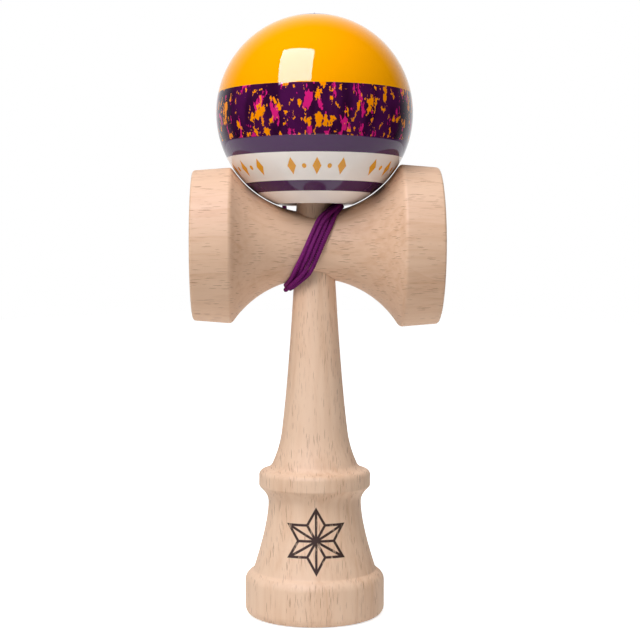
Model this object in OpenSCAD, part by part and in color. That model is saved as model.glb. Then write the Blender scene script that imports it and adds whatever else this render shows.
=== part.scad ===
// Kendama: a wooden cup-and-ball toy, standing on its base cup with the ball on the spike.
// A turned handle carries a cross-piece with two cups, and a cord ties the ball to the cross-piece.
// Origin at the centre of the base rim, +Z up, big cup towards +X.

/* [Handle] */
// Outer diameter of the base cup
base_d = 42.7; // [40:0.1:46]
// Height of the base cup's straight band
base_band_h = 10.4; // [8:0.1:13]
// Rounding of the base cup's lower edge
base_edge_r = 3; // [1.5:0.1:3.5]
// Width of the flat rim that the handle stands on
base_rim_w = 1.6; // [1:0.1:2.5]
// Radius of the sphere that hollows the base cup
base_dish_r = 24; // [22:0.5:30]
// Height of the shoulder over the base cup's band
shoulder_h = 3.3; // [2.5:0.1:4.5]
// Diameter at the foot of the bell
bell_foot_d = 37.7; // [34:0.1:39]
// Height of the bell, from its foot to the neck
bell_h = 21; // [16:0.1:24]
// Diameter of the neck, under the collar
neck_d = 28.5; // [24:0.1:31]
// Height of the hollow between the neck and the collar
cove_h = 4.8; // [3.5:0.1:7]
// Diameter of the collar
collar_d = 34.2; // [32:0.1:37]
// Height of the collar's straight band
collar_band_h = 3.2; // [1.5:0.1:4]
// Height of the collar's rounded top
collar_crown_h = 1.9; // [1.5:0.1:3]
// Diameter at the top of the collar's rounding
collar_ledge_d = 30.4; // [28:0.1:31.5]
// Diameter at the foot of the stem
stem_foot_d = 25.6; // [23:0.1:27.5]
// Height of the hollow between the collar and the stem's foot
stem_foot_h = 2.2; // [1:0.1:3]
// Diameter at the top of the stem's flare
flare_d = 20.2; // [17:0.1:22]
// Height of the stem's flare
flare_h = 9.5; // [7:0.1:12]
// Length of the stem, from its flare to the cross-piece
stem_h = 46.8; // [40:0.1:55]
// Diameter of the handle where it enters the cross-piece
seat_low_d = 12.6; // [12:0.1:14]
// Diameter of the handle where it leaves the cross-piece
seat_high_d = 11.5; // [10.5:0.1:11.9]
// Length of the spike over the cross-piece
spike_h = 31; // [28:0.5:34]
// Diameter of the spike just under its rounded tip
tip_d = 6.4; // [5:0.1:8]
// Height of the spike's rounded tip
tip_round_h = 2.6; // [1.5:0.1:4]

/* [Cross-piece] */
// Diameter of the cross-piece at its waist
waist_d = 20; // [18:0.1:23]
// Diameter of the big cup at its inner edge
big_edge_d = 49.7; // [47:0.1:52]
// Diameter of the big cup at its rim
big_rim_d = 47.8; // [45:0.1:49]
// Width of the band round the big cup
big_band_w = 11.8; // [11:0.1:15]
// Diameter of the small cup at its inner edge
small_edge_d = 47.5; // [45:0.1:50]
// Diameter of the small cup at its rim
small_rim_d = 45.7; // [44:0.1:47.5]
// Width of the band round the small cup
small_band_w = 11.8; // [11:0.1:14]
// Radius of the sphere that hollows both cups
cup_dish_r = 27; // [25:0.5:29]
// Width of the flat on the cups' rims
cup_land_w = 1.3; // [0.8:0.1:2]
// Rounding of the cups' rims
cup_rim_r = 0.9; // [0.4:0.1:1.5]
// Rounding of the edges between the waist and the cups
cup_edge_r = 0.8; // [0.3:0.1:1.5]
// Diameter of the cord hole's mouth, at the back of the waist
lead_mouth_d = 5.4; // [5:0.1:6]
// Depth of the cord hole's mouth
lead_mouth_h = 1.5; // [1.2:0.1:1.8]

/* [Ball] */
// Diameter of the ball
ball_d = 60; // [58:0.1:62]
// Gap between the resting ball and the cross-piece
ball_gap = 0.2; // [0.15:0.05:0.5]
// Diameter of the hole for the spike
hole_d = 21.4; // [20.6:0.1:23]
// Width of the bevel round the hole's mouth
hole_bevel = 0.7; // [0.3:0.1:1]
// Diameter of the hole for the cord
cord_hole_d = 3; // [2.6:0.1:4]
// Diameter of the countersink over the cord hole
cord_sink_d = 8.4; // [7:0.1:9]
// Depth of the countersink over the cord hole
cord_sink_h = 3; // [2:0.1:4]
// Diameter of the bead
bead_d = 7; // [6:0.1:9]
// Height of the bead
bead_h = 6; // [4:0.1:6.6]
// Diameter of the bead's bore
bead_bore_d = 2.2; // [2:0.1:2.6]

/* [Cord] */
// Diameter of the cord
cord_d = 1.3; // [1:0.05:1.4]
// Spacing of the wound strands, from middle to middle
strand_pitch = 1.77; // [1.75:0.01:1.9]
// Turns wound round the cross-piece
turns = 4; // [2:2:4]
// Diameter of the knot under the bead
bead_knot_d = 4.4; // [3.5:0.1:5]
// Height of the knot under the bead
bead_knot_h = 3.2; // [2.5:0.1:4]
// Diameter of the knot in the cross-piece
inner_knot_d = 3; // [2.6:0.1:3.2]
// Thickness of the knot in the cross-piece
inner_knot_h = 0.8; // [0.6:0.1:0.9]

/* [Clearances] */
// Gap round the handle in the cross-piece's bore
seat_gap = 0.06; // [0.02:0.01:0.1]
// Gap between resting pieces that touch only lightly
rest_gap = 0.25; // [0.2:0.05:0.3]
// Slack of the cord behind the ball
cord_slack = 0.1; // [0.05:0.05:0.5]
// Gap between the wound cord and the handle
side_gap = 0.5; // [0.3:0.05:0.6]
// Gap round the knot in the cross-piece's pocket
pocket_gap = 0.3; // [0.2:0.05:0.4]

/* [Hidden] */

$fn = 96;
curve_steps = 10;
wood_colour = "BurlyWood";
ball_colour = "Orange";
cord_colour = "Purple";
bead_colour = "Gainsboro";
// How far every cut runs past the face that it opens
overrun = 1;

// Heights along the handle, from the base rim up
shoulder_z = base_band_h + shoulder_h;
neck_z = shoulder_z + bell_h;
collar_z = neck_z + cove_h;
crown_z = collar_z + collar_band_h;
ledge_z = crown_z + collar_crown_h;
stem_z = ledge_z + stem_foot_h;
flare_z = stem_z + flare_h;
seat_z = flare_z + stem_h;
cross_z = seat_z + waist_d / 2;
spike_z = cross_z + waist_d / 2;
tip_z = spike_z + spike_h;

// Where the control point of each curve lies, as shares of the curve's width and height
shoulder_share = 0.66;
bell_share = 0.67;
cove_share = 0.5;
crown_share = 0.84;
ledge_shares = [0.8, 0.32];
flare_shares = [0.785, 0.495];
stem_shares = [0.53, 0.34];
tip_flat_share = 0.4;
knot_flat_share = 0.5;

// The waist of the cross-piece is an arc about the resting ball's centre
saddle_arc_r = ball_d / 2 + ball_gap;
saddle_lift = waist_d / 2 + saddle_arc_r;
ball_z = cross_z + saddle_lift;

// The hole ends where the bead, held up by its knot on the spike's tip, carries the ball
knot_z = tip_z + rest_gap;
bead_z = knot_z + bead_knot_h;
hole_end_z = bead_z + bead_h + rest_gap;
hole_mouth_r = hole_d / 2 + hole_bevel;
hole_mouth_z = ball_z - sqrt(pow(ball_d / 2, 2) - pow(hole_mouth_r, 2));

// The cord leaves the cross-piece through a hole at the back of its waist
seat_mid_r = (seat_low_d + seat_high_d) / 4 + seat_gap;
inner_knot_y = seat_mid_r + rest_gap;
lead_y = inner_knot_y + inner_knot_h;
lead_bend_y = lead_y + cord_d;
pocket_y = lead_y + pocket_gap / 2;
lead_hole_d = cord_d + 2 * pocket_gap;

// The winding: angles round the cross-piece run from its top over the front
rings_per_turn = 24;
winding_sides = 6;
ring_step = 360 / rings_per_turn;
back_angle = 270;
lead_end_angle = 315;
winding_end_angle = back_angle + 360 * turns - ring_step;
lane_shift_angle = 60;
lead_rings = 7;
lead_pull = 3.5;
lead_push = 9;
// From this share of the way up or down, the outer strands climb onto the inner ones
climb_from_share = 0.35;
climb_swell_share = 0.16;
// Share of an even sway that is left in front and behind; over and under the waist it is the greater
front_share = 0.6;
column_shift = strand_pitch / 2 + cord_d / 2 + side_gap;
top_x = seat_high_d / 2 + column_shift;
bottom_x = -seat_low_d / 2 - column_shift;
middle_x = (top_x + bottom_x) / 2;
sway_x = (top_x - bottom_x) / 2;
cord_lift = rest_gap + cord_d / 2;
back_pitch = strand_pitch * norm([1, sway_x * front_share / (waist_d / 2 + cord_lift)]);
back_x = -middle_x - back_pitch * turns / 2;

// The cord's route from the winding up behind the ball and into its cord hole, from the ball's centre,
// drawn for a cord that runs round the ball at route_r
riser_sides = 8;
route_r = 31;
riser_scale = (ball_d / 2 + cord_d / 2 + rest_gap + cord_slack) / route_r;
riser_route = [
    [-9, 14.7, -38], [-9.2, 16.9, -34], [-9.3, 19, -30], [-9.2, 20.9, -26],
    [-8.8, 22.9, -22], [-8, 24.8, -18.2], [-7, 26.5, -14.8], [-6, 28.3, -11.4],
    [-5, 29.6, -8], [-4, 30.5, -4.4], [-3.1, 30.9, -0.8], [-2.3, 30.8, 2.8],
    [-1.6, 30.3, 6.6], [-1, 29.3, 10.2], [-0.6, 27.9, 13.7], [-0.3, 26, 17],
    [0, 23.7, 20.1], [0, 21, 22.9], [0, 17.9, 25.4], [0, 14.6, 27.4],
    [0, 11.1, 29], [0, 7.6, 30.15], [0, 5.6, 30.55], [0, 4.2, 30.65],
    [0, 3, 30.3], [0, 2, 29.7], [0, 1.1, 28.8], [0, 0.45, 27.8],
    [0, 0.1, 26.7], [0, 0, 25.6], [0, 0, 25]
];

// Points on the curve from a to b that bends towards c
function bent(a, c, b) = [
    for (i = [0:curve_steps]) let (t = i / curve_steps)
        pow(1 - t, 2) * a + 2 * t * (1 - t) * c + t * t * b
];

// The point at the given shares of the way from a to b, across and up
function between(a, b, shares) = [a.x + (b.x - a.x) * shares.x, a.y + (b.y - a.y) * shares.y];

function reversed(list) = [for (i = [len(list) - 1:-1:0]) list[i]];

// A spherical hollow's outline from its mouth to its axis, opening towards side
function hollow(mouth_r, rim, dish_r, side) = [
    for (i = [curve_steps:-1:0])
        let (a = asin(mouth_r / dish_r) * i / curve_steps)
            [dish_r * sin(a), rim + side * (sqrt(pow(dish_r, 2) - pow(mouth_r, 2)) - dish_r * cos(a))]
];

// The handle's outline, from the base cup's rim up to the spike's tip
function ken_outline() =
    let (band = base_d / 2,
         edge = [band - base_edge_r, 0],
         band_top = [band, base_band_h],
         foot = [bell_foot_d / 2, shoulder_z],
         neck = [neck_d / 2, neck_z],
         collar = [collar_d / 2, collar_z],
         crown = [collar_d / 2, crown_z],
         ledge = [collar_ledge_d / 2, ledge_z],
         stem = [stem_foot_d / 2, stem_z],
         flare = [flare_d / 2, flare_z],
         seat = [seat_low_d / 2, seat_z],
         spike = [seat_high_d / 2, spike_z],
         tip = [tip_d / 2, tip_z - tip_round_h])
    concat(
        bent(edge, [band, 0], [band, base_edge_r]),
        bent(band_top, [band, base_band_h + shoulder_h * shoulder_share], foot),
        bent(foot, [neck.x, shoulder_z + bell_h * bell_share], neck),
        bent(neck, [neck.x, neck_z + cove_h * cove_share], collar),
        bent(crown, [crown.x, crown_z + collar_crown_h * crown_share], ledge),
        bent(ledge, between(ledge, stem, ledge_shares), stem),
        bent(stem, between(stem, flare, flare_shares), flare),
        bent(flare, between(flare, seat, stem_shares), seat),
        [spike],
        bent(tip, [tip.x, tip_z], [tip.x * tip_flat_share, tip_z]),
        [[0, tip_z]],
        reversed(hollow(edge.x - base_rim_w, 0, base_dish_r, -1))
    );

// Radius of the cross-piece's waist at x along its axis
function saddle_r(x) = saddle_lift - sqrt(pow(saddle_arc_r, 2) - x * x);

// Where the waist meets a cup's edge, along the axis
function edge_x(edge_r) = sqrt(pow(saddle_arc_r, 2) - pow(saddle_lift - edge_r, 2));

// One cup's outline, from the waist to the bottom of its hollow
function cup_outline(edge_r, rim_r, band_w, side) =
    let (inner = edge_x(edge_r),
         edge = [edge_r, side * inner],
         rim = [rim_r, side * (inner + band_w)],
         along = (rim - edge) / band_w)
    concat(
        bent([saddle_r(inner - cup_edge_r), side * (inner - cup_edge_r)], edge, edge + along * cup_edge_r),
        bent(rim - along * cup_rim_r, rim, [rim.x - cup_rim_r, rim.y]),
        hollow(rim.x - cup_rim_r - cup_land_w, rim.y, cup_dish_r, side)
    );

// The cross-piece's outline, from the bottom of the small cup to the bottom of the big one
function sarado_outline() =
    let (low = edge_x(small_edge_d / 2) - cup_edge_r,
         high = edge_x(big_edge_d / 2) - cup_edge_r,
         steps = 4 * curve_steps)
    concat(
        reversed(cup_outline(small_edge_d / 2, small_rim_d / 2, small_band_w, -1)),
        [for (i = [1:steps - 1]) let (x = -low + (low + high) * i / steps) [saddle_r(x), x]],
        cup_outline(big_edge_d / 2, big_rim_d / 2, big_band_w, 1)
    );

// The handle's radius in the cross-piece's bore at height z, continued past both ends
function seat_r(z) = (seat_low_d + (seat_high_d - seat_low_d) * (z - seat_z) / waist_d) / 2;

function clamped(t) = min(1, max(0, t));

// A step from 0 to 1 with flat ends
function eased(t) = let (c = clamped(t)) c * c * (3 - 2 * c);

// The strand's lane at an angle, counted from the winding's middle: it falls by one behind the waist
function lane(angle) =
    let (from_shift = angle - back_angle + lane_shift_angle / 2,
         turn = floor(from_shift / 360))
    (turns + 1) / 2 - turn - eased((from_shift - 360 * turn) / lane_shift_angle);

// How far the winding leans to one side at an angle, from -1 to 1, and how fast that changes
function lean(angle) = front_share * cos(angle) + (1 - front_share) * pow(cos(angle), 3);
function lean_rate(angle) = -sin(angle) * (front_share + 3 * (1 - front_share) * pow(cos(angle), 2));

// A point on the wound cord's middle line
function wound(angle) =
    let (behind = max(0, -sin(angle)),
         climb = eased((abs(cos(angle)) - climb_from_share) / (1 - climb_from_share)),
         slope = (2 * back_x * behind * -cos(angle) + sway_x * lean_rate(angle)) / (waist_d / 2 + cord_lift),
         step = strand_pitch * (1 + 4 * climb_swell_share * climb * (1 - climb)),
         at = lane(angle),
         inner = max(-1, min(1, 2 * at)) / 2,
         outer = at - inner,
         along = step * norm([1, slope]) * (inner + outer * cos(90 * climb)),
         x = middle_x + sway_x * lean(angle) + back_x * pow(behind, 2) + along,
         r = saddle_r(x) + cord_lift + step * abs(outer) * sin(90 * climb))
    [x, -r * sin(angle), cross_z + r * cos(angle)];

function unit(v) = v / norm(v);

// The wound cord's direction at an angle
function heading(angle) = unit(wound(angle + 1 / rings_per_turn) - wound(angle - 1 / rings_per_turn));

// The wound cord's middle line: out of the hole, up into the first turn, round, and straight at its end
function winding_points() =
    let (start = [0, lead_bend_y, cross_z],
         joined = wound(lead_end_angle),
         pull = start + [0, lead_pull, 0],
         push = joined - heading(lead_end_angle) * lead_push,
         last = wound(winding_end_angle))
    concat(
        [[0, lead_y, cross_z]],
        [for (i = [0:lead_rings - 1]) let (t = i / lead_rings)
            pow(1 - t, 3) * start + 3 * t * pow(1 - t, 2) * pull + 3 * t * t * (1 - t) * push
            + pow(t, 3) * joined],
        [for (a = [lead_end_angle:ring_step:winding_end_angle]) wound(a)],
        [last + heading(winding_end_angle) * cord_d]
    );

// Distance from point p to the stretch between a and b
function off_stretch(p, a, b) =
    let (v = b - a) norm(p - a - v * clamped((p - a) * v / (v * v)));

// Least gap between strands of a tube, leaving out the stretch within half a turn
function least_gap(points, d) =
    let (skip = rings_per_turn / 2)
    min([
        for (i = [0:len(points) - 2 - skip]) for (j = [i + skip:len(points) - 2])
            min(off_stretch(points[i], points[j], points[j + 1]),
                off_stretch(points[j], points[i], points[i + 1]))
    ]) - d;

// Direction of a line of points at point i
function direction(points, i) =
    let (last = len(points) - 1)
    i == 0 ? unit(points[1] - points[0])
    : i == last ? unit(points[last] - points[last - 1])
    : unit(unit(points[i + 1] - points[i]) + unit(points[i] - points[i - 1]));

// What is left of v square to direction t
function square_to(v, t) = unit(v - t * (v * t));

// A round tube along a line of points, with one ring of points round each
module tube(points, d, sides, first_side) {
    count = len(points);
    normals = [
        for (i = 0, n = square_to(first_side, direction(points, 0)); i < count;
             i = i + 1, n = i < count ? square_to(n, direction(points, i)) : n) n
    ];
    rings = [
        for (i = [0:count - 1]) let (n = normals[i], b = cross(direction(points, i), n))
            for (k = [0:sides - 1])
                points[i] + (n * cos(360 * k / sides) + b * sin(360 * k / sides)) * d / 2
    ];
    walls = [
        for (i = [0:count - 2]) for (k = [0:sides - 1])
            let (a = i * sides + k, b = i * sides + (k + 1) % sides)
                each [[a, a + sides, b], [b, a + sides, b + sides]]
    ];
    top = (count - 1) * sides;
    caps = [for (k = [1:sides - 2]) each [[0, k, k + 1], [top, top + k + 1, top + k]]];
    polyhedron(rings, concat(walls, caps), convexity = 10);
}

// A tight round knot with flat ends, standing on the origin along +Z
module knot(d, h) {
    flat_r = d / 2 * knot_flat_share;
    rotate_extrude() polygon(concat(
        [[0, 0]],
        bent([flat_r, 0], [d / 2, 0], [d / 2, h / 2]),
        bent([d / 2, h / 2], [d / 2, h], [flat_r, h]),
        [[0, h]]
    ));
}

module ken() {
    color(wood_colour) rotate_extrude() polygon(ken_outline());
}

module sarado() {
    bore_z = cross_z - waist_d;
    bore_h = 2 * waist_d;
    color(wood_colour) difference() {
        translate([0, 0, cross_z]) rotate([0, 90, 0]) rotate_extrude() polygon(sarado_outline());
        translate([0, 0, bore_z])
            cylinder(r1 = seat_r(bore_z) + seat_gap, r2 = seat_r(bore_z + bore_h) + seat_gap, h = bore_h);
        translate([0, 0, cross_z]) rotate([-90, 0, 0]) {
            cylinder(d = inner_knot_d + 2 * pocket_gap, h = pocket_y);
            cylinder(d = lead_hole_d, h = waist_d);
            translate([0, 0, waist_d / 2 - lead_mouth_h])
                cylinder(d1 = lead_hole_d, d2 = 2 * lead_mouth_d - lead_hole_d, h = 2 * lead_mouth_h);
        }
    }
}

module tama() {
    bevel_z = hole_mouth_z - overrun;
    color(ball_colour) difference() {
        translate([0, 0, ball_z]) sphere(d = ball_d);
        translate([0, 0, ball_z - ball_d / 2]) cylinder(d = hole_d, h = hole_end_z - ball_z + ball_d / 2);
        translate([0, 0, bevel_z])
            cylinder(r1 = hole_mouth_r + overrun, r2 = hole_d / 2, h = hole_bevel + overrun);
        translate([0, 0, hole_end_z - overrun]) cylinder(d = cord_hole_d, h = ball_d);
        translate([0, 0, ball_z + ball_d / 2 - cord_sink_h])
            cylinder(d1 = cord_hole_d, d2 = cord_sink_d, h = cord_sink_h);
    }
}

module string_bead() {
    color(bead_colour) translate([0, 0, bead_z + bead_h / 2]) difference() {
        intersection() {
            sphere(d = bead_d);
            cylinder(d = bead_d, h = bead_h, center = true);
        }
        cylinder(d = bead_bore_d, h = bead_h + overrun, center = true);
    }
}

module bead_knot() {
    color(cord_colour) translate([0, 0, knot_z]) knot(bead_knot_d, bead_knot_h);
}

module sarado_knot() {
    color(cord_colour) translate([0, inner_knot_y, cross_z]) rotate([-90, 0, 0])
        knot(inner_knot_d, inner_knot_h);
}

module string_winding() {
    points = winding_points();
    echo(least_gap_between_strands = least_gap(points, cord_d));
    color(cord_colour) tube(points, cord_d, winding_sides, [1, 0, 0]);
}

module string_riser() {
    wind = winding_points();
    start = wind[len(wind) - 1];
    straight = start + heading(winding_end_angle) * cord_d;
    points = concat([start, straight], [for (p = riser_route) p * riser_scale + [0, 0, ball_z]]);
    color(cord_colour) tube(points, cord_d, riser_sides, [1, 0, 0]);
}

module string_tail() {
    top = ball_z + riser_route[len(riser_route) - 1].z * riser_scale;
    color(cord_colour) translate([0, 0, bead_z]) cylinder(d = cord_d, h = top - bead_z);
}

ken();
sarado();
tama();
string_bead();
bead_knot();
sarado_knot();
string_winding();
string_riser();
string_tail();
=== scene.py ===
"""A kendama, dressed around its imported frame: turned beech, a lacquered ball and a wound cord."""

import logging
import math
from collections.abc import Iterable, Sequence
from dataclasses import dataclass, field
from enum import Enum

import bmesh
import bpy
from mathutils import Matrix, Vector


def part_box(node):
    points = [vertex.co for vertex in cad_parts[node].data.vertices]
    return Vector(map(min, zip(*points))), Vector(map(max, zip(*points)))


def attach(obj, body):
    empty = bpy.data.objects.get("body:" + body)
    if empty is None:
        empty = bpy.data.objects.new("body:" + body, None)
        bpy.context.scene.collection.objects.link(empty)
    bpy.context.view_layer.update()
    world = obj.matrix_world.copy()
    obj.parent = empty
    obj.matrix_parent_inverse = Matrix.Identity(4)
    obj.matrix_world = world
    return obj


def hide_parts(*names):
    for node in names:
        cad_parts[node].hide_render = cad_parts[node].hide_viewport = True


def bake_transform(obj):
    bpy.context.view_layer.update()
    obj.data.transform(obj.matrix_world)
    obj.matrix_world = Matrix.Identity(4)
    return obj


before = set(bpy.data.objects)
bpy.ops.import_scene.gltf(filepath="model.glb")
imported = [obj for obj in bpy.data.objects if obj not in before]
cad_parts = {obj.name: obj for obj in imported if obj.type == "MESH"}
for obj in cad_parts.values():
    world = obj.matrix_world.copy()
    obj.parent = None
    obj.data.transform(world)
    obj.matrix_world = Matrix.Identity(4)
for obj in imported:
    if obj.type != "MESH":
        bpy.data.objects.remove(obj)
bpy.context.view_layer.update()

LOG = logging.getLogger("kendama")
CURVE_STEPS = 20
CORNER_STEPS = 5
TURN_STEPS = 160
CORNER_TURN = math.radians(14)
MERGE_DISTANCE = 1e-7

# The curve of screen colours: a straight start, then a power.
FULL_LEVEL = 255
STRAIGHT_END = 0.04045
STRAIGHT_SLOPE = 12.92
POWER_OFFSET = 0.055
POWER = 2.4

Colour = tuple[float, float, float, float]
Triple = tuple[float, float, float]
Pair = tuple[float, float]
Feed = bpy.types.NodeSocket | float | Sequence[float]


def screen_colour(code: str) -> Colour:
    """Turns a screen colour into linear light.

    Args:
        code: The colour as six hexadecimal digits.

    Returns:
        Red, green, blue and an alpha of 1.
    """
    levels = [level / FULL_LEVEL for level in bytes.fromhex(code)]
    red, green, blue = (
        x / STRAIGHT_SLOPE if x <= STRAIGHT_END else ((x + POWER_OFFSET) / (1 + POWER_OFFSET)) ** POWER
        for x in levels
    )
    return red, green, blue, 1.0


def bent(start: Vector, control: Vector, end: Vector, steps: int = CURVE_STEPS) -> list[Vector]:
    """Gives points on the curve between two points that bends towards a third.

    Args:
        start: First point of the curve.
        control: Point that the curve bends towards.
        end: Last point of the curve.
        steps: Number of stretches between the points.

    Returns:
        The points, both ends included.
    """
    shares = [i / steps for i in range(steps + 1)]
    return [start.lerp(control, t).lerp(control.lerp(end, t), t) for t in shares]


def arc(middle: float, radius: float, first: float, last: float, steps: int = CURVE_STEPS) -> list[Vector]:
    """Gives points on an arc about a point of the turning axis.

    Args:
        middle: Place of the arc's centre along the axis.
        radius: Radius of the arc.
        first: Angle of the first point, from square to the axis.
        last: Angle of the last point.
        steps: Number of stretches between the points.

    Returns:
        The points, each as its radius and its place along the axis.
    """
    angles = [first + (last - first) * i / steps for i in range(steps + 1)]
    return [Vector((radius * math.cos(a), middle + radius * math.sin(a))) for a in angles]


def joined(*stretches: Iterable[Vector]) -> list[Vector]:
    """Joins stretches of an outline and drops points that repeat.

    Args:
        stretches: The stretches, in order.

    Returns:
        The points of all the stretches.
    """
    points: list[Vector] = []
    for point in (p for stretch in stretches for p in stretch):
        if not points or (point - points[-1]).length > MERGE_DISTANCE:
            points.append(point)
    return points


def running_lengths(points: Sequence[Vector]) -> list[float]:
    """Adds up the distance along a line of points.

    Args:
        points: The line's points.

    Returns:
        The distance of each point from the first.
    """
    lengths = [0.0]
    for before, after in zip(points, points[1:]):
        lengths.append(lengths[-1] + (after - before).length)
    return lengths


def point_along(points: Sequence[Vector], lengths: Sequence[float], distance: float) -> Vector:
    """Finds the point at a distance along a line of points.

    Args:
        points: The line's points.
        lengths: Distance along the line of each point.
        distance: How far along the wanted point lies.

    Returns:
        The point there.
    """
    after = next((i for i, length in enumerate(lengths) if i and length >= distance), len(points) - 1)
    share = (distance - lengths[after - 1]) / (lengths[after] - lengths[after - 1])
    return points[after - 1].lerp(points[after], share)


def softened(outline: Sequence[Vector], reach: float) -> list[Vector]:
    """Rounds the corners of an outline, as sanding does.

    Args:
        outline: The outline's points.
        reach: How far the rounding reaches to either side of a corner.

    Returns:
        The rounded outline.
    """
    lengths = running_lengths(outline)
    corners = [
        i for i in range(1, len(outline) - 1)
        if (outline[i] - outline[i - 1]).angle(outline[i + 1] - outline[i], 0.0) > CORNER_TURN
    ]
    rounded: list[Vector] = []
    for i, point in enumerate(outline):
        if i in corners:
            first = point_along(outline, lengths, lengths[i] - reach)
            last = point_along(outline, lengths, lengths[i] + reach)
            rounded += bent(first, point, last, CORNER_STEPS)
        elif all(abs(lengths[i] - lengths[c]) > reach for c in corners):
            rounded.append(point)
    return rounded


class Spindle(Enum):
    """The axis that a piece is turned on, with a direction square to it."""

    UPRIGHT = ((0.0, 0.0, 1.0), (1.0, 0.0, 0.0))
    CROSSWISE = ((1.0, 0.0, 0.0), (0.0, 0.0, 1.0))
    BACKWARD = ((0.0, 1.0, 0.0), (1.0, 0.0, 0.0))


def new_piece(name: str, shape: bmesh.types.BMesh) -> bpy.types.Object:
    """Makes an object of a finished bmesh, and frees the bmesh.

    Args:
        name: Name of the piece.
        shape: Its shape, in the frame's coordinates.

    Returns:
        The new object, at the origin.
    """
    mesh = bpy.data.meshes.new(name)
    shape.to_mesh(mesh)
    shape.free()
    mesh.shade_smooth()
    piece = bpy.data.objects.new(name, mesh)
    bpy.context.scene.collection.objects.link(piece)
    return piece


def turned(
    name: str, outline: Sequence[Vector], spindle: Spindle, middle_z: float = 0.0, closed: bool = False
) -> bpy.types.Object:
    """Turns an outline on a spindle into a closed body.

    Args:
        name: Name of the piece.
        outline: Points of the outline, each as its radius and its place along the spindle.
        spindle: The axis to turn on.
        middle_z: Height of the spindle's zero.
        closed: Whether the outline's last point joins its first.

    Returns:
        The new object.
    """
    axis, outward = (Vector(v) for v in spindle.value)
    centre = Vector((0.0, 0.0, middle_z))
    shape = bmesh.new()
    ring = [shape.verts.new(centre + outward * p.x + axis * p.y) for p in outline]
    edges = [shape.edges.new(pair) for pair in zip(ring, ring[1:] + ring[:1] if closed else ring[1:])]
    bmesh.ops.spin(
        shape, geom=ring + edges, cent=centre, axis=axis, angle=math.tau, steps=TURN_STEPS, use_merge=True
    )
    bmesh.ops.remove_doubles(shape, verts=shape.verts, dist=MERGE_DISTANCE)
    bmesh.ops.recalc_face_normals(shape, faces=shape.faces)
    return new_piece(name, shape)


def carved(piece: bpy.types.Object, cutters: Sequence[bpy.types.Object]) -> None:
    """Cuts other bodies out of a piece and removes them.

    Args:
        piece: The piece to cut.
        cutters: The bodies to cut away.
    """
    for cutter in cutters:
        cut = piece.modifiers.new("cut", "BOOLEAN")
        cut.operation = "DIFFERENCE"
        cut.solver = "EXACT"
        cut.object = cutter
    whole = piece.data
    graph = bpy.context.evaluated_depsgraph_get()
    piece.data = bpy.data.meshes.new_from_object(piece.evaluated_get(graph))
    piece.modifiers.clear()
    bpy.data.meshes.remove(whole)
    for cutter in cutters:
        bpy.data.meshes.remove(cutter.data)


def tube(
    name: str, path: Sequence[Vector], section: Sequence[Vector], twist: float = 0.0, cyclic: bool = False
) -> bpy.types.Object:
    """Sweeps a cross-section along a path.

    Args:
        name: Name of the piece.
        path: The middle line's points.
        section: The cross-section's points.
        twist: Turn of the section for each metre of path.
        cyclic: Whether the path closes on itself.

    Returns:
        The swept body as a mesh object.
    """
    profile = bpy.data.curves.new(name + "_section", "CURVE")
    profile.dimensions = "2D"
    lay_spline(profile, section, cyclic=True)
    profile_object = bpy.data.objects.new(profile.name, profile)
    line = bpy.data.curves.new(name + "_line", "CURVE")
    line.dimensions = "3D"
    line.twist_mode = "MINIMUM"
    line.bevel_mode = "OBJECT"
    line.bevel_object = profile_object
    line.use_fill_caps = not cyclic
    spline = lay_spline(line, path, cyclic)
    for point, length in zip(spline.points, running_lengths(path)):
        point.tilt = twist * length
    line_object = bpy.data.objects.new(line.name, line)
    bpy.context.scene.collection.objects.link(line_object)
    graph = bpy.context.evaluated_depsgraph_get()
    mesh = bpy.data.meshes.new_from_object(line_object.evaluated_get(graph))
    bpy.data.curves.remove(line)
    bpy.data.curves.remove(profile)
    shape = bmesh.new()
    shape.from_mesh(mesh)
    bpy.data.meshes.remove(mesh)
    bmesh.ops.remove_doubles(shape, verts=shape.verts, dist=MERGE_DISTANCE)
    bmesh.ops.recalc_face_normals(shape, faces=shape.faces)
    return new_piece(name, shape)


def lay_spline(curve: bpy.types.Curve, points: Sequence[Vector], cyclic: bool) -> bpy.types.Spline:
    """Adds a straight-stretch spline to a curve.

    Args:
        curve: The curve to add to.
        points: The spline's points.
        cyclic: Whether the spline closes on itself.

    Returns:
        The new spline.
    """
    spline = curve.splines.new("POLY")
    spline.points.add(len(points) - 1)
    for laid, point in zip(spline.points, points):
        laid.co = (*point.to_3d(), 1.0)
    spline.use_cyclic_u = cyclic
    return spline


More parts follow.
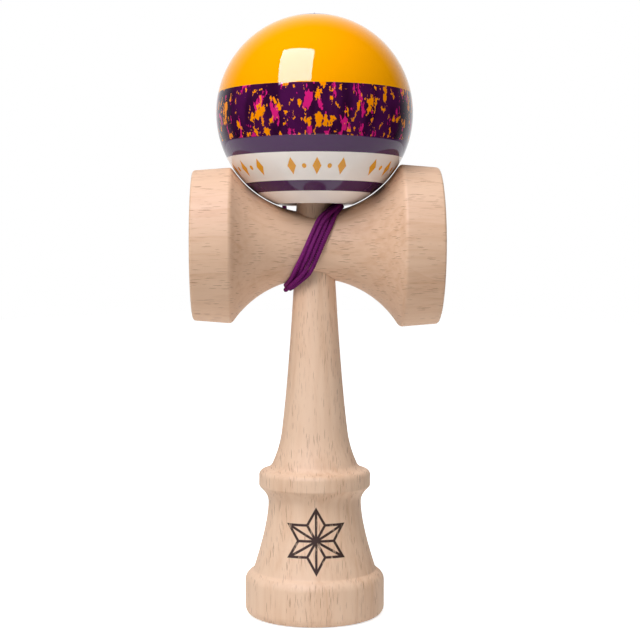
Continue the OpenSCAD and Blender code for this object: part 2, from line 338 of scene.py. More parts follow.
class Wiring:
    """Adds nodes to a node tree and wires them up."""

    # Places of a Mix node's sockets for its share and its two colours, and of its mixed colour.
    MIX_INPUTS = (0, 6, 7)
    MIX_OUTPUT = 2

    def __init__(self, tree: bpy.types.NodeTree) -> None:
        """Keeps the tree to work on."""
        self.tree = tree

    def feed(self, socket: bpy.types.NodeSocket, value: Feed) -> None:
        """Links a socket to an output, or sets its value.

        Args:
            socket: The socket to feed.
            value: The output that it is linked to, or its value.
        """
        if isinstance(value, bpy.types.NodeSocket):
            self.tree.links.new(value, socket)
        else:
            socket.default_value = value

    def feed_all(self, node: bpy.types.Node, feeds: dict[str, Feed]) -> None:
        """Feeds a node's inputs by name."""
        for name, value in feeds.items():
            self.feed(node.inputs[name], value)

    def add(self, kind: str, feeds: dict[str, Feed] | None = None, **settings: object) -> bpy.types.Node:
        """Adds a node.

        Args:
            kind: The node's type.
            feeds: What goes into its inputs, by name.
            settings: The node's own settings.

        Returns:
            The new node.
        """
        node = self.tree.nodes.new(kind)
        for name, setting in settings.items():
            setattr(node, name, setting)
        self.feed_all(node, feeds or {})
        return node

    def math(self, operation: str, *values: Feed) -> bpy.types.NodeSocket:
        """Adds a Math node.

        Args:
            operation: The node's operation.
            values: What it works on.

        Returns:
            Its result.
        """
        node = self.add("ShaderNodeMath", operation=operation)
        for socket, value in zip(node.inputs, values):
            self.feed(socket, value)
        return node.outputs[0]

    def plus(self, first: Feed, second: Feed) -> bpy.types.NodeSocket:
        """Adds two values."""
        return self.math("ADD", first, second)

    def minus(self, first: Feed, second: Feed) -> bpy.types.NodeSocket:
        """Takes the second value from the first."""
        return self.math("SUBTRACT", first, second)

    def times(self, first: Feed, second: Feed) -> bpy.types.NodeSocket:
        """Multiplies two values."""
        return self.math("MULTIPLY", first, second)

    def over(self, first: Feed, second: Feed) -> bpy.types.NodeSocket:
        """Divides the first value by the second."""
        return self.math("DIVIDE", first, second)

    def hypot(self, across: Feed, up: Feed) -> bpy.types.NodeSocket:
        """Gives the distance that two values make at a right angle."""
        return self.math("SQRT", self.plus(self.math("POWER", across, 2.0), self.math("POWER", up, 2.0)))

    def vector_math(self, operation: str, first: Feed, second: Feed) -> bpy.types.NodeSocket:
        """Adds a Vector Math node.

        Args:
            operation: The node's operation.
            first: Its first vector.
            second: Its second vector.

        Returns:
            Its result.
        """
        node = self.add("ShaderNodeVectorMath", operation=operation)
        self.feed(node.inputs[0], first)
        self.feed(node.inputs[1], second)
        return node.outputs[0]

    def stretch(self, vector: Feed, scale: Sequence[float]) -> bpy.types.NodeSocket:
        """Multiplies a vector along its axes."""
        return self.vector_math("MULTIPLY", vector, scale)

    def sized(self, place: Feed, size: Triple) -> bpy.types.NodeSocket:
        """Scales a place so that one unit is as long as the given size along each axis."""
        return self.stretch(place, [1 / length for length in size])

    def shift(self, vector: Feed, offset: Sequence[float]) -> bpy.types.NodeSocket:
        """Adds an offset to a vector."""
        return self.vector_math("ADD", vector, offset)

    def mix(self, share: Feed, first: Feed, second: Feed) -> bpy.types.NodeSocket:
        """Mixes two colours.

        Args:
            share: Share of the second colour.
            first: The first colour.
            second: The second colour.

        Returns:
            The mixed colour.
        """
        node = self.add("ShaderNodeMix", data_type="RGBA")
        for index, value in zip(self.MIX_INPUTS, (share, first, second)):
            self.feed(node.inputs[index], value)
        return node.outputs[self.MIX_OUTPUT]

    def noise(self, vector: Feed, detail: float = 2.0, roughness: float = 0.5) -> bpy.types.NodeSocket:
        """Adds noise with a grain of one unit of its vector."""
        feeds = {"Vector": vector, "Scale": 1.0, "Detail": detail, "Roughness": roughness}
        return self.add("ShaderNodeTexNoise", feeds).outputs["Fac"]

    def rise(self, value: Feed, low: float, high: float) -> bpy.types.NodeSocket:
        """Maps a value to a smooth rise from 0 to 1.

        Args:
            value: The value to map.
            low: Where the rise starts.
            high: Where the rise ends.

        Returns:
            The mapped value.
        """
        feeds = {"Value": value, "From Min": low, "From Max": high}
        return self.add("ShaderNodeMapRange", feeds, interpolation_type="SMOOTHSTEP").outputs["Result"]

    def bump(self, height: Feed, depth: float) -> bpy.types.NodeSocket:
        """Turns a height map into a surface normal."""
        return self.add("ShaderNodeBump", {"Height": height, "Distance": depth}).outputs["Normal"]


def new_material(name: str) -> tuple[bpy.types.Material, Wiring, bpy.types.Node]:
    """Starts a material with a Principled shader.

    Args:
        name: Name of the material.

    Returns:
        The material, the wiring of its tree, and its shader.
    """
    material = bpy.data.materials.new(name)
    material.use_nodes = True
    return material, Wiring(material.node_tree), material.node_tree.nodes["Principled BSDF"]


def bare_material(name: str) -> tuple[bpy.types.Material, Wiring, bpy.types.NodeSocket]:
    """Starts a material without a shader.

    Args:
        name: Name of the material.

    Returns:
        The material, the wiring of its tree, and the socket that takes its surface.
    """
    material, wiring, shader = new_material(name)
    wiring.tree.nodes.remove(shader)
    return material, wiring, wiring.tree.nodes["Material Output"].inputs["Surface"]


@dataclass(frozen=True)
class BeechFigure:
    """The figure of beech, as a node group: streaks and growth rings along Z, and short dark pores."""

    streak_size: Triple = (0.0016, 0.0016, 0.022)
    streak_detail: float = 3.0
    streak_weight: float = 0.38
    cloud_size: Triple = (0.012, 0.012, 0.05)
    cloud_detail: float = 2.0
    cloud_weight: float = 0.42
    ring_pith: Triple = (-0.045, -0.060, 0.0)
    ring_spacing: float = 0.0042
    ring_sway: float = 2.0
    ring_power: float = 2.5
    ring_weight: float = 0.06
    tone_rise: Pair = (0.30, 0.78)
    pore_cells: tuple[Triple, ...] = (
        (0.00021, 0.005, 0.0105), (0.00024, 0.0055, 0.008), (0.0002, 0.0045, 0.006),
    )
    pore_layer_shift: Triple = (0.37, 0.61, 0.13)
    pore_radius: float = 0.22
    pore_edge: Pair = (-0.02, 0.06)
    pore_strength: Pair = (0.2, 0.85)
    pore_cover: float = 0.9
    fibre_size: Triple = (0.00022, 0.00022, 0.003)
    fibre_detail: float = 1.0
    fibre_weight: float = 0.35

    def build(self) -> bpy.types.ShaderNodeTree:
        """Builds the group, with its vector in metres and its grain along Z.

        Returns:
            The node group.
        """
        group = bpy.data.node_groups.new("beech_figure", "ShaderNodeTree")
        face = group.interface
        face.new_socket("Vector", in_out="INPUT", socket_type="NodeSocketVector")
        for name in ("Pale", "Warm", "Pore"):
            face.new_socket(name, in_out="INPUT", socket_type="NodeSocketColor")
        face.new_socket("Color", in_out="OUTPUT", socket_type="NodeSocketColor")
        face.new_socket("Height", in_out="OUTPUT", socket_type="NodeSocketFloat")
        wiring = Wiring(group)
        given = wiring.add("NodeGroupInput").outputs
        place = given["Vector"]
        streak = wiring.noise(wiring.sized(place, self.streak_size), self.streak_detail)
        cloud = wiring.noise(wiring.sized(place, self.cloud_size), self.cloud_detail)
        tone = wiring.plus(wiring.times(streak, self.streak_weight), wiring.times(cloud, self.cloud_weight))
        tone = wiring.plus(tone, wiring.times(self.rings(wiring, place, cloud), self.ring_weight))
        wood = wiring.mix(wiring.rise(tone, *self.tone_rise), given["Pale"], given["Warm"])
        pores = self.pores(wiring, place)
        fibre = wiring.noise(wiring.sized(place, self.fibre_size), self.fibre_detail)
        wiring.add("NodeGroupOutput", {
            "Color": wiring.mix(wiring.times(pores, self.pore_cover), wood, given["Pore"]),
            "Height": wiring.minus(wiring.times(fibre, self.fibre_weight), pores),
        })
        return group

    def rings(self, wiring: Wiring, place: Feed, sway: Feed) -> bpy.types.NodeSocket:
        """Draws faint growth rings about a far-off pith.

        Args:
            wiring: The group's wiring.
            place: The place on the wood.
            sway: Noise that bends the rings.

        Returns:
            The rings' strength, from 0 to 1.
        """
        from_pith = wiring.shift(place, [-x for x in self.ring_pith])
        away = wiring.add("ShaderNodeSeparateXYZ", {"Vector": from_pith}).outputs
        turns = wiring.over(wiring.hypot(away["X"], away["Y"]), self.ring_spacing)
        turns = wiring.plus(turns, wiring.times(sway, self.ring_sway))
        return wiring.math("POWER", wiring.math("FRACT", turns), self.ring_power)

    def pores(self, wiring: Wiring, place: Feed) -> bpy.types.NodeSocket:
        """Scatters short dark pores along the grain.

        Args:
            wiring: The group's wiring.
            place: The place on the wood.

        Returns:
            The pores' strength, from 0 to 1.
        """
        strength: Feed = 0.0
        for layer, cell in enumerate(self.pore_cells):
            offset = [layer * step for step in self.pore_layer_shift]
            shifted = wiring.shift(wiring.sized(place, cell), offset)
            cells = wiring.add("ShaderNodeTexVoronoi", {"Vector": shifted, "Scale": 1.0}).outputs
            draw = wiring.add("ShaderNodeSeparateColor", {"Color": cells["Color"]}).outputs
            radius = wiring.times(wiring.plus(draw["Red"], 1.0), self.pore_radius / 2)
            pore = wiring.rise(wiring.minus(radius, cells["Distance"]), *self.pore_edge)
            pore = wiring.times(pore, wiring.rise(draw["Green"], *self.pore_strength))
            strength = wiring.math("MAXIMUM", strength, pore)
        return strength


@dataclass(frozen=True)
class BurntStar:
    """A six-pointed hemp-leaf star, burnt into the handle's bell."""

    middle_z: float = 0.025
    points: int = 6
    reach: float = 0.0092
    line_w: float = 0.00075
    blur: float = 0.00008

    def mask(self, wiring: Wiring, place: Feed) -> bpy.types.NodeSocket:
        """Draws the star's lines on the front of the bell.

        Args:
            wiring: The material's wiring.
            place: The place on the wood.

        Returns:
            1 on the lines and 0 beside them.
        """
        at = wiring.add("ShaderNodeSeparateXYZ", {"Vector": place}).outputs
        across, up = at["X"], wiring.minus(at["Z"], self.middle_z)
        radius = wiring.hypot(across, up)
        half = math.pi / self.points
        folded = wiring.math("PINGPONG", wiring.math("ARCTAN2", across, up), half)
        along = wiring.times(radius, wiring.math("COSINE", folded))
        beside = wiring.times(radius, wiring.math("SINE", folded))
        to_side = wiring.minus(wiring.times(along, math.sin(half)), wiring.times(beside, math.cos(half)))
        outward = wiring.plus(along, wiring.times(beside, 1 / math.tan(half)))
        past_edge = wiring.times(wiring.minus(outward, self.reach), math.sin(half))
        nearest = wiring.math("MINIMUM", wiring.math("ABSOLUTE", to_side), wiring.math("ABSOLUTE", past_edge))
        distance = wiring.math("MAXIMUM", wiring.math("MINIMUM", beside, nearest), past_edge)
        line = wiring.rise(distance, self.line_w / 2 + self.blur, self.line_w / 2 - self.blur)
        return wiring.times(line, wiring.math("LESS_THAN", at["Y"], 0.0))


class BeechTone(Enum):
    """The pale and the warm colour of a piece of beech."""

    PLAIN = (screen_colour("e9c9ae"), screen_colour("d2a683"))
    RUDDY = (screen_colour("e5c1a4"), screen_colour("ce9f7b"))
    # Dark beech for inside the ball's hole: painted shade for a hollow that no light reaches.
    PAINTED_SHADE = (screen_colour("6a4632"), screen_colour("523321"))


@dataclass(frozen=True)
class BeechFinish:
    """Bare beech, sanded smooth."""

    figure: bpy.types.ShaderNodeTree
    tone: BeechTone = BeechTone.PLAIN
    pore: Colour = screen_colour("7d4523")
    pore_depth: float = 0.00004
    burnt: Colour = screen_colour("35221a")
    worn_scale: Triple = (900.0, 900.0, 250.0)
    worn_detail: float = 3.0
    worn_rise: Pair = (0.15, 0.45)
    roughness: float = 0.62
    specular: float = 0.3

    def material(
        self, name: str, grain_turn: Triple = (0.0, 0.0, 0.0), star: BurntStar | None = None
    ) -> bpy.types.Material:
        """Makes the material of one piece of beech.

        Args:
            name: Name of the material.
            grain_turn: Turn that brings the piece's grain to Z.
            star: The star to burn into it, if any.

        Returns:
            The material.
        """
        material, wiring, shader = new_material(name)
        place = wiring.add("ShaderNodeTexCoord").outputs["Object"]
        mapped = wiring.add("ShaderNodeMapping", {"Vector": place, "Rotation": grain_turn}).outputs["Vector"]
        pale, warm = self.tone.value
        feeds = {"Vector": mapped, "Pale": pale, "Warm": warm, "Pore": self.pore}
        wood = wiring.add("ShaderNodeGroup", feeds, node_tree=self.figure).outputs
        colour = wood["Color"]
        if star:
            worn = wiring.noise(wiring.stretch(place, self.worn_scale), self.worn_detail)
            ink = wiring.times(star.mask(wiring, place), wiring.rise(worn, *self.worn_rise))
            colour = wiring.mix(ink, colour, self.burnt)
        wiring.feed_all(shader, {
            "Base Color": colour,
            "Normal": wiring.bump(wood["Height"], self.pore_depth),
            "Roughness": self.roughness,
            "Specular IOR Level": self.specular,
        })
        return material


@dataclass(frozen=True)
class Dabs:
    """Dabs of one paint: its colour, the noise's offset and scale, and the level that it is painted from."""

    paint: Colour
    offset: Triple
    scale: Triple
    level: float


@dataclass(frozen=True)
class BallPaint:
    """Painted bands under a clear lacquer, with a flecked band and a row of small marks."""

    middle_z: float
    orange: Colour = screen_colour("ffa800")
    plum: Colour = screen_colour("451250")
    dusk: Colour = screen_colour("4a1248")
    dusk_deep: Colour = screen_colour("2c0a2b")
    cream: Colour = screen_colour("fff6ee")
    mark: Colour = screen_colour("f2a41c")
    ground_scale: Triple = (160.0, 160.0, 60.0)
    ground_detail: float = 3.0
    ground_rise: Pair = (0.35, 0.65)
    dabs: tuple[Dabs, ...] = (
        Dabs(screen_colour("d81f7a"), (0.02, 0.05, 0.03), (380.0, 380.0, 130.0), 0.593),
        Dabs(screen_colour("ff9400"), (0.07, 0.01, 0.09), (430.0, 430.0, 260.0), 0.577),
    )
    dab_detail: float = 4.0
    dab_roughness: float = 0.62
    dab_blur: float = 0.006
    cap_z: float = 0.0287
    flecks_top_z: float = 0.00587
    flecks_foot_z: float = -0.0090
    marks_top_z: float = -0.0136
    marks_foot_z: float = -0.0214
    line_foot_z: float = -0.0243
    edge_blur: float = 0.00006
    marks_radius: float = 0.0244
    mark_groups: int = 6
    mark_pitch: float = 0.0037
    marks_each_side: int = 2
    lozenge_w: float = 0.0013
    lozenge_h: float = 0.0024
    dot_r: float = 0.00065
    mark_blur_share: float = 0.05
    roughness: float = 0.35
    coat_roughness: float = 0.03
    coat_ior: float = 1.42

    def material(self) -> bpy.types.Material:
        """Makes the ball's painted material.

        Returns:
            The material.
        """
        material, wiring, shader = new_material("lacquered_bands")
        place = wiring.add("ShaderNodeTexCoord").outputs["Object"]
        at = wiring.add("ShaderNodeSeparateXYZ", {"Vector": place}).outputs
        height = wiring.minus(at["Z"], self.middle_z)
        cream = wiring.mix(self.marks(wiring, at["X"], at["Y"], height), self.cream, self.mark)
        bands = (
            (self.line_foot_z, self.plum),
            (self.marks_foot_z, cream),
            (self.marks_top_z, self.plum),
            (self.flecks_foot_z, self.flecks(wiring, place)),
            (self.flecks_top_z, self.orange),
            (self.cap_z, self.plum),
        )
        colour: Feed = self.cream
        for edge, band in bands:
            over = wiring.rise(height, edge - self.edge_blur, edge + self.edge_blur)
            colour = wiring.mix(over, colour, band)
        wiring.feed_all(shader, {
            "Base Color": colour,
            "Roughness": self.roughness,
            "Specular IOR Level": 0.0,
            "Coat Weight": 1.0,
            "Coat Roughness": self.coat_roughness,
            "Coat IOR": self.coat_ior,
        })
        return material

    def flecks(self, wiring: Wiring, place: Feed) -> bpy.types.NodeSocket:
        """Paints the flecked band: dabs of two colours that run downwards, on a dark ground.

        Args:
            wiring: The material's wiring.
            place: The place on the ball.

        Returns:
            The band's colour.
        """
        ground = wiring.noise(wiring.stretch(place, self.ground_scale), self.ground_detail)
        colour = wiring.mix(wiring.rise(ground, *self.ground_rise), self.dusk_deep, self.dusk)
        for dabs in self.dabs:
            spread = wiring.stretch(wiring.shift(place, dabs.offset), dabs.scale)
            spots = wiring.noise(spread, self.dab_detail, self.dab_roughness)
            over = wiring.rise(spots, dabs.level - self.dab_blur, dabs.level + self.dab_blur)
            colour = wiring.mix(over, colour, dabs.paint)
        return colour

    def marks(self, wiring: Wiring, x: Feed, y: Feed, height: Feed) -> bpy.types.NodeSocket:
        """Draws the row of lozenges and dots round the pale band, in groups with gaps between them.

        Args:
            wiring: The material's wiring.
            x: Place across the ball.
            y: Place from front to back.
            height: Height from the ball's middle.

        Returns:
            1 on a mark and 0 beside it.
        """
        half = 0.5
        groups = wiring.times(wiring.math("ARCTAN2", x, wiring.times(y, -1.0)), self.mark_groups / math.tau)
        in_group = wiring.minus(wiring.math("FRACT", wiring.plus(groups, half)), half)
        along = wiring.times(in_group, math.tau * self.marks_radius / self.mark_groups)
        index = wiring.math("ROUND", wiring.over(along, self.mark_pitch))
        from_mark = wiring.math("ABSOLUTE", wiring.minus(along, wiring.times(index, self.mark_pitch)))
        up = wiring.minus(height, (self.marks_top_z + self.marks_foot_z) / 2)
        rise = wiring.math("ABSOLUTE", up)
        lozenge = wiring.plus(wiring.over(from_mark, self.lozenge_w), wiring.over(rise, self.lozenge_h))
        dot = wiring.over(wiring.hypot(from_mark, up), self.dot_r)
        count = wiring.math("ABSOLUTE", index)
        odd = wiring.math("MODULO", count, 2.0)
        chosen = wiring.plus(wiring.times(odd, dot), wiring.times(wiring.minus(1.0, odd), lozenge))
        inside = wiring.rise(chosen, 1 + self.mark_blur_share, 1 - self.mark_blur_share)
        return wiring.times(inside, wiring.math("LESS_THAN", count, self.marks_each_side + half))


@dataclass(frozen=True)
class CordFinish:
    """Twisted synthetic yarn, a little fuzzy."""

    shade: Colour = screen_colour("550c4c")
    ridge: Colour = screen_colour("86237b")
    fibre_size: Triple = (0.00025, 0.00025, 0.00025)
    fibre_detail: float = 3.0
    fibre_roughness: float = 0.7
    fibre_rise: Pair = (0.3, 0.7)
    fuzz_depth: float = 0.00004
    roughness: float = 0.7
    specular: float = 0.12

    def material(self) -> bpy.types.Material:
        """Makes the cord's material.

        Returns:
            The material.
        """
        material, wiring, shader = new_material("twisted_yarn")
        place = wiring.add("ShaderNodeTexCoord").outputs["Object"]
        fibre = wiring.noise(wiring.sized(place, self.fibre_size), self.fibre_detail, self.fibre_roughness)
        wiring.feed_all(shader, {
            "Base Color": wiring.mix(wiring.rise(fibre, *self.fibre_rise), self.shade, self.ridge),
            "Normal": wiring.bump(fibre, self.fuzz_depth),
            "Roughness": self.roughness,
            "Specular IOR Level": self.specular,
        })
        return material


@dataclass(frozen=True)
class BeadFinish:
    """Smooth moulded plastic with a faint swirl."""

    pale: Colour = screen_colour("ece6da")
    swirl: Colour = screen_colour("d8cfc0")
    swirl_scale: Triple = (500.0, 500.0, 900.0)
    swirl_detail: float = 2.0
    swirl_rise: Pair = (0.35, 0.65)
    least_roughness: float = 0.2
    roughness_spread: float = 0.15

    def material(self) -> bpy.types.Material:
        """Makes the bead's material.

        Returns:
            The material.
        """
        material, wiring, shader = new_material("moulded_bead")
        place = wiring.add("ShaderNodeTexCoord").outputs["Object"]
        swirl = wiring.noise(wiring.stretch(place, self.swirl_scale), self.swirl_detail)
        wiring.feed_all(shader, {
            "Base Color": wiring.mix(wiring.rise(swirl, *self.swirl_rise), self.pale, self.swirl),
            "Roughness": wiring.plus(wiring.times(swirl, self.roughness_spread), self.least_roughness),
        })
        return material


def placed(piece: bpy.types.Object, body: str, slot: str, *nodes: str) -> bpy.types.Object:
    """Puts a piece on its body, in place of its plain solids.

    Args:
        piece: The piece.
        body: Body that it moves with.
        slot: Name of a material slot; not used.
        nodes: Solids that it stands for.

    Returns:
        The piece.
    """
    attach(piece, body)
    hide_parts(*nodes)
    return piece


@dataclass
class Handle:
    """The turned handle: base cup, bell, collar, stem and spike."""

    base_d: float = 0.0427
    base_band_h: float = 0.0104
    base_edge_r: float = 0.003
    base_rim_w: float = 0.0016
    base_dish_r: float = 0.024
    shoulder_h: float = 0.0033
    bell_foot_d: float = 0.0377
    bell_h: float = 0.021
    neck_d: float = 0.0285
    cove_h: float = 0.0048
    collar_d: float = 0.0342
    collar_band_h: float = 0.0032
    collar_crown_h: float = 0.0019
    collar_ledge_d: float = 0.0304
    stem_foot_d: float = 0.0256
    stem_foot_h: float = 0.0022
    flare_d: float = 0.0202
    flare_h: float = 0.0095
    stem_h: float = 0.0468
    seat_low_d: float = 0.0126
    seat_high_d: float = 0.0115
    seat_h: float = 0.020
    spike_h: float = 0.031
    tip_d: float = 0.0064
    tip_round_h: float = 0.0026
    edge_reach: float = 0.00045
    shoulder_share: float = 0.66
    bell_share: float = 0.67
    cove_share: float = 0.5
    crown_share: float = 0.84
    ledge_shares: Pair = (0.8, 0.32)
    flare_shares: Pair = (0.785, 0.495)
    stem_shares: Pair = (0.53, 0.34)
    tip_flat_share: float = 0.4

    @property
    def seat_z(self) -> float:
        """Adds up the height at which the handle enters the cross-piece.

        Returns:
            The height.
        """
        foot = self.base_band_h + self.shoulder_h + self.bell_h + self.cove_h
        collar = self.collar_band_h + self.collar_crown_h + self.stem_foot_h
        return foot + collar + self.flare_h + self.stem_h

    @property
    def cross_z(self) -> float:
        """Height of the cross-piece's axis."""
        return self.seat_z + self.seat_h / 2

    @property
    def tip_z(self) -> float:
        """Height of the spike's tip."""
        return self.seat_z + self.seat_h + self.spike_h

    def seat_r(self, z: float) -> float:
        """Gives the handle's radius in the cross-piece, continued past both ends."""
        share = (z - self.seat_z) / self.seat_h
        return (self.seat_low_d + (self.seat_high_d - self.seat_low_d) * share) / 2

    def outline(self) -> list[Vector]:
        """Draws the outline, from the base cup's hollow to the spike's tip.

        Returns:
            The outline's points.
        """
        heights = [0.0]
        for step in (self.base_band_h, self.shoulder_h, self.bell_h, self.cove_h, self.collar_band_h,
                     self.collar_crown_h, self.stem_foot_h, self.flare_h, self.stem_h, self.seat_h):
            heights.append(heights[-1] + step)
        widths = (self.base_d, self.base_d, self.bell_foot_d, self.neck_d, self.collar_d, self.collar_d,
                  self.collar_ledge_d, self.stem_foot_d, self.flare_d, self.seat_low_d, self.seat_high_d)
        places = [Vector((width / 2, z)) for width, z in zip(widths, heights)]
        base, band, foot, neck, collar, crown, ledge, stem, flare, seat, spike = places
        rim_r = base.x - self.base_edge_r
        mouth_r = rim_r - self.base_rim_w
        dish_z = -math.sqrt(self.base_dish_r ** 2 - mouth_r ** 2)
        tip = Vector((self.tip_d / 2, self.tip_z - self.tip_round_h))
        return joined(
            arc(dish_z, self.base_dish_r, math.pi / 2, math.acos(mouth_r / self.base_dish_r)),
            bent(Vector((rim_r, 0.0)), base, Vector((base.x, self.base_edge_r))),
            bent(band, self.lifted(band, self.shoulder_h * self.shoulder_share), foot),
            bent(foot, Vector((neck.x, foot.y + self.bell_h * self.bell_share)), neck),
            bent(neck, self.lifted(neck, self.cove_h * self.cove_share), collar),
            bent(crown, self.lifted(crown, self.collar_crown_h * self.crown_share), ledge),
            bent(ledge, self.between(ledge, stem, self.ledge_shares), stem),
            bent(stem, self.between(stem, flare, self.flare_shares), flare),
            bent(flare, self.between(flare, seat, self.stem_shares), seat),
            [spike],
            bent(tip, Vector((tip.x, self.tip_z)), Vector((tip.x * self.tip_flat_share, self.tip_z))),
            [Vector((0.0, self.tip_z))],
        )

    @staticmethod
    def lifted(point: Vector, height: float) -> Vector:
        """Gives the point at a height over another."""
        return point + Vector((0.0, height))

    @staticmethod
    def between(first: Vector, second: Vector, shares: Pair) -> Vector:
        """Gives the point at shares of the way between two others, across and up."""
        return first + (second - first) * Vector(shares)

    def build(self, finish: BeechFinish) -> bpy.types.Object:
        """Turns the handle and dresses it.

        Args:
            finish: The wood's finish.

        Returns:
            The handle.
        """
        piece = turned("handle", softened(self.outline(), self.edge_reach), Spindle.UPRIGHT)
        piece.data.materials.append(finish.material("beech_upright", star=BurntStar()))
        return placed(piece, "handle", "beech", "ken")


@dataclass
class CrossPiece:
    """The cross-piece with its big and its small cup, bored for the handle and the cord."""

    handle: Handle
    ball_d: float = 0.060
    ball_gap: float = 0.0002
    waist_d: float = 0.020
    big_edge_d: float = 0.0497
    big_rim_d: float = 0.0478
    big_band_w: float = 0.0118
    small_edge_d: float = 0.0475
    small_rim_d: float = 0.0457
    small_band_w: float = 0.0118
    dish_r: float = 0.027
    land_w: float = 0.0013
    rim_r: float = 0.0009
    edge_r: float = 0.0008
    mouth_reach: float = 0.0004
    seat_gap: float = 0.00006
    pocket_d: float = 0.0036
    pocket_y: float = 0.0074
    lead_hole_d: float = 0.0021
    lead_mouth_d: float = 0.0054
    lead_mouth_h: float = 0.0015
    waist_steps: int = 3 * CURVE_STEPS

    @property
    def saddle_arc_r(self) -> float:
        """Radius of the waist's arc, about the resting ball's middle."""
        return self.ball_d / 2 + self.ball_gap

    @property
    def saddle_lift(self) -> float:
        """Height of the resting ball's middle over the cross-piece's axis."""
        return self.waist_d / 2 + self.saddle_arc_r

    def saddle_r(self, x: float) -> float:
        """Gives the waist's radius at a place along the axis."""
        return self.saddle_lift - math.sqrt(self.saddle_arc_r ** 2 - x * x)

    def edge_x(self, edge_r: float) -> float:
        """Finds where the waist meets a cup's edge."""
        return math.sqrt(self.saddle_arc_r ** 2 - (self.saddle_lift - edge_r) ** 2)

    def cup(self, edge_d: float, rim_d: float, band_w: float) -> list[Vector]:
        """Draws one cup's outline towards +X, from the waist to the bottom of its hollow.

        Args:
            edge_d: Diameter at the inner edge.
            rim_d: Diameter at the rim.
            band_w: Width of the band between them.

        Returns:
            The outline's points.
        """
        inner = self.edge_x(edge_d / 2)
        edge = Vector((edge_d / 2, inner))
        rim = Vector((rim_d / 2, inner + band_w))
        along = (rim - edge) / band_w
        mouth_r = rim.x - self.rim_r - self.land_w
        dish_x = rim.y + math.sqrt(self.dish_r ** 2 - mouth_r ** 2)
        start = inner - self.edge_r
        return joined(
            bent(Vector((self.saddle_r(start), start)), edge, edge + along * self.edge_r),
            bent(rim - along * self.rim_r, rim, Vector((rim.x - self.rim_r, rim.y))),
            arc(dish_x, self.dish_r, -math.acos(mouth_r / self.dish_r), -math.pi / 2),
        )

    def outline(self) -> list[Vector]:
        """Draws the outline, from the small cup's hollow to the big cup's.

        Returns:
            The outline's points.
        """
        small = self.cup(self.small_edge_d, self.small_rim_d, self.small_band_w)
        small = [Vector((p.x, -p.y)) for p in small]
        big = self.cup(self.big_edge_d, self.big_rim_d, self.big_band_w)
        low, high = small[0].y, big[0].y
        waist = [low + (high - low) * i / self.waist_steps for i in range(1, self.waist_steps)]
        return joined(reversed(small), (Vector((self.saddle_r(x), x)) for x in waist), big)

    def bore(self) -> bpy.types.Object:
        """Makes the tapered body that the handle's bore is cut with.

        Returns:
            The body.
        """
        low, high = self.handle.cross_z - self.waist_d, self.handle.cross_z + self.waist_d
        shape = bmesh.new()
        bmesh.ops.create_cone(
            shape, cap_ends=True, segments=TURN_STEPS, depth=2 * self.waist_d,
            radius1=self.handle.seat_r(low) + self.seat_gap, radius2=self.handle.seat_r(high) + self.seat_gap,
            matrix=Matrix.Translation((0.0, 0.0, self.handle.cross_z)),
        )
        return new_piece("bore_cutter", shape)

    def lead(self) -> bpy.types.Object:
        """Makes the stepped body that the cord's hole and pocket are cut with.

        Returns:
            The body.
        """
        throat_y, mouth_y = (self.waist_d / 2 + side * self.lead_mouth_h for side in (-1, 1))
        hole_r, pocket_r = self.lead_hole_d / 2, self.pocket_d / 2
        outline = ((0.0, 0.0), (pocket_r, 0.0), (pocket_r, self.pocket_y), (hole_r, self.pocket_y),
                   (hole_r, throat_y), (self.lead_mouth_d - hole_r, mouth_y), (0.0, mouth_y))
        return turned("lead_cutter", [Vector(p) for p in outline], Spindle.BACKWARD, self.handle.cross_z)

    def build(self, finish: BeechFinish) -> bpy.types.Object:
        """Turns the cross-piece, bores it and dresses it.

        Args:
            finish: The wood's finish.

        Returns:
            The cross-piece.
        """
        outline = softened(self.outline(), self.mouth_reach)
        piece = turned("cross_piece", outline, Spindle.CROSSWISE, self.handle.cross_z)
        carved(piece, [self.bore(), self.lead()])
        piece.data.shade_smooth()
        piece.data.materials.clear()
        piece.data.materials.append(finish.material("beech_crosswise", grain_turn=(0.0, -math.pi / 2, 0.0)))
        return placed(piece, "cross_piece", "beech", "sarado")


